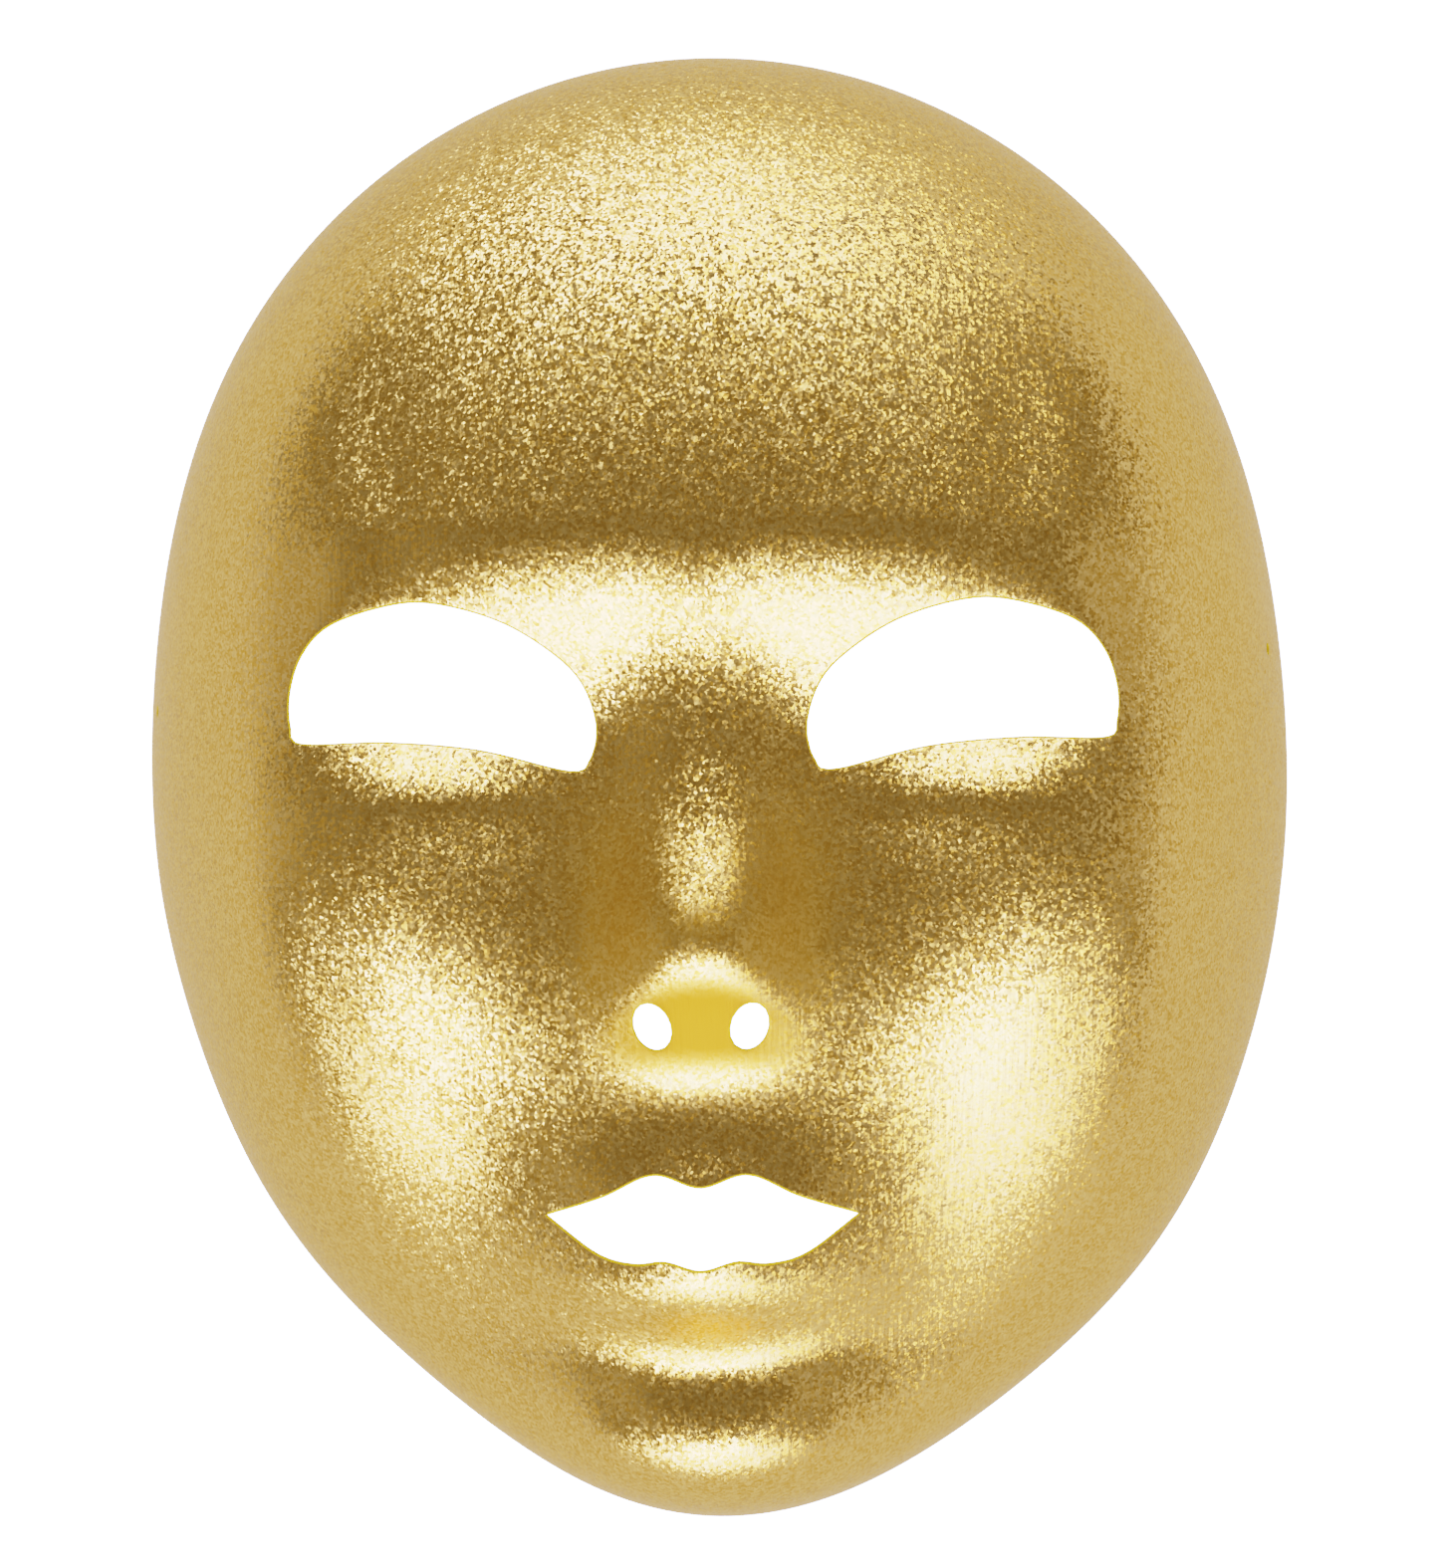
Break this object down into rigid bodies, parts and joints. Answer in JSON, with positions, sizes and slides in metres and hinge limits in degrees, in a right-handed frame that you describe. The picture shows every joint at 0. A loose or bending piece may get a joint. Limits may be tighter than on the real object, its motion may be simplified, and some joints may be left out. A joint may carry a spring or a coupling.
{
  "type": "costume mask",
  "caption": "Full-face costume mask: a thin pressed shell of metallic cloth with almond eye openings, pierced nostrils, an open mouth and a flat rim.",
  "frame": {"origin": "middle of the rim's box, on the surface that the rim lies on", "axes": "+X to the wearer's left and the viewer's right, +Y from chin to forehead, +Z out of the face, up when the mask lies on its rim"},
  "size_m": [0.1698, 0.2162, 0.0709],
  "materials": {
    "gold_lame": "sparkling metallic lame cloth, bonded to a stiff backing and pressed to shape"
  },
  "bodies": {
    "root": {"mask_shell": "gold_lame"}
  },
  "joints": []
}
